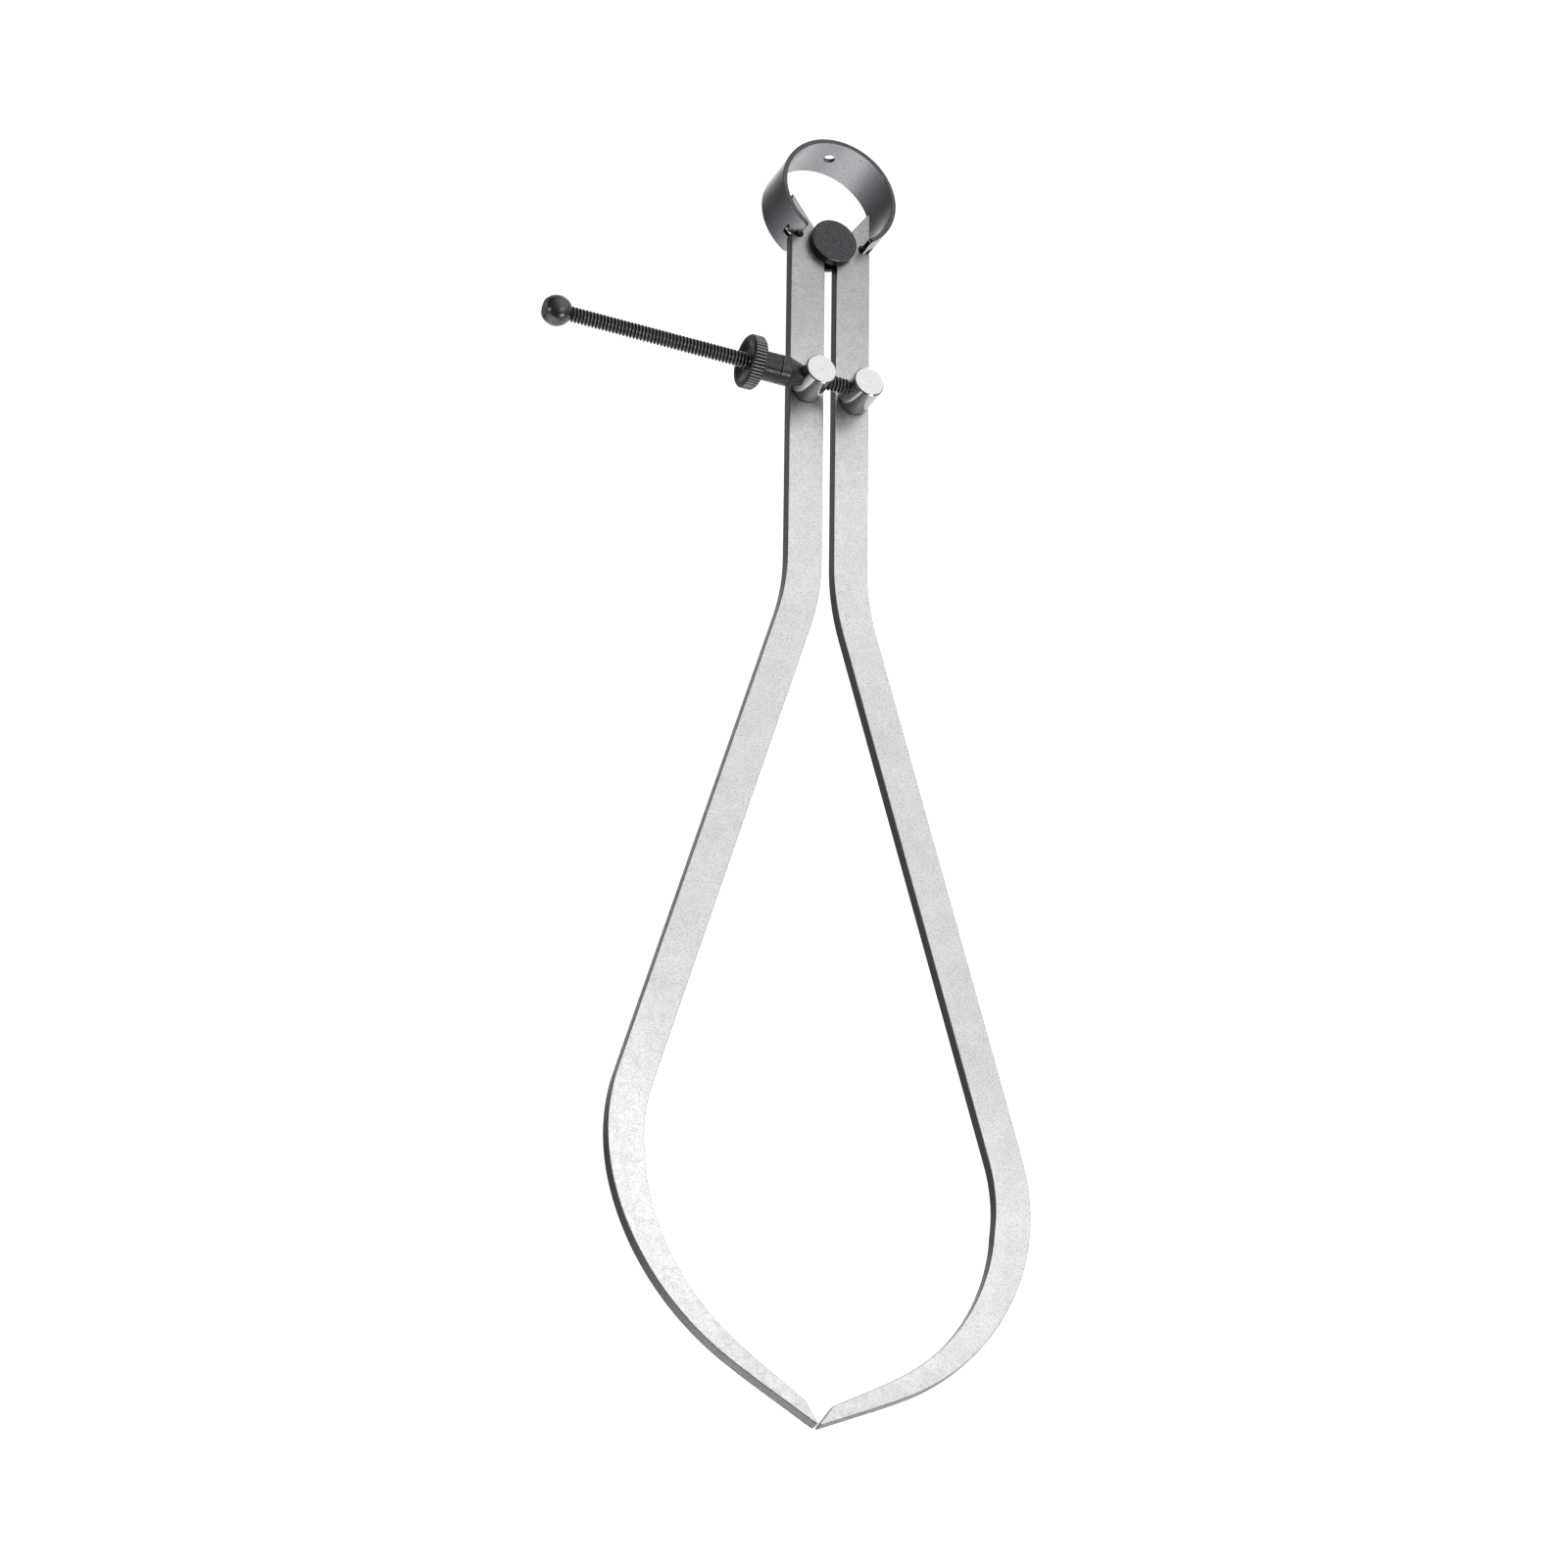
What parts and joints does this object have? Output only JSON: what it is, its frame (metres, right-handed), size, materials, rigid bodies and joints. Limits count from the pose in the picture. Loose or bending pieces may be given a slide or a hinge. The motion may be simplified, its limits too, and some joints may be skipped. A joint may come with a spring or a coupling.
{
  "type": "outside spring caliper",
  "caption": "Outside spring caliper with bowed legs, a flat bow spring and an adjusting screw with a thumb nut, for sizing round work.",
  "frame": {"origin": "on the fulcrum axis, at the back face of the fulcrum's rear flange", "axes": "+Y from the contact tips towards the bow spring, +X to the right seen from the side that carries the screw, +Z out of that side"},
  "size_m": [0.1148, 0.3078, 0.0171],
  "materials": {
    "leg_steel": "satin nickel with a fine dark mottle",
    "spring_steel": "dark satin spring steel",
    "blackened_steel": "charcoal, turned",
    "polished_steel": "bright turned and polished",
    "black_oxide": "black oxide, slightly glossy"
  },
  "bodies": {
    "fulcrum": {"fulcrum_stud": "blackened_steel", "fulcrum_roller": "blackened_steel", "fulcrum_rear_flange": "blackened_steel", "bow_spring": "spring_steel"},
    "left_leg": {"left_leg": "leg_steel"},
    "right_leg": {"right_leg": "leg_steel"},
    "nut_post": {"nut_post": "polished_steel", "nut_post_washer": "leg_steel"},
    "screw_post": {"screw_post": "polished_steel", "screw_post_washer": "leg_steel", "adjusting_screw": "black_oxide", "screw_ball": "black_oxide", "screw_lock_pin": "leg_steel"},
    "thumb_nut": {"thumb_nut": "black_oxide", "nut_nose": "black_oxide"}
  },
  "joints": [
    {"name": "left_leg_opening", "type": "hinge", "parent": "fulcrum", "child": "left_leg", "pos_m": [0, 0, 0], "axis": [0, 0, -1], "range_deg": [0, 30], "deforming": ["bow_spring"]},
    {"name": "right_leg_opening", "type": "hinge", "parent": "fulcrum", "child": "right_leg", "pos_m": [0, 0, 0], "axis": [0, 0, 1], "range_deg": [0, 30]},
    {"name": "nut_post_swivel", "type": "hinge", "parent": "left_leg", "child": "nut_post", "pos_m": [-0.0056, -0.039, 0], "axis": [0, 0, 1], "range_deg": [0, 30]},
    {"name": "screw_post_swivel", "type": "hinge", "parent": "right_leg", "child": "screw_post", "pos_m": [0.0056, -0.039, 0], "axis": [0, 0, -1], "range_deg": [0, 30]},
    {"name": "nut_turn", "type": "hinge", "parent": "nut_post", "child": "thumb_nut", "pos_m": [-0.0203, -0.039, 0.00805], "axis": [1, 0, 0], "range_deg": [0, 17000]}
  ],
  "couplings": [
    {"joint": "right_leg_opening", "follows": "left_leg_opening", "ratio": 1},
    {"joint": "nut_post_swivel", "follows": "left_leg_opening", "ratio": 1},
    {"joint": "screw_post_swivel", "follows": "left_leg_opening", "ratio": 1},
    {"joint": "nut_turn", "follows": "left_leg_opening", "ratio": 565}
  ]
}
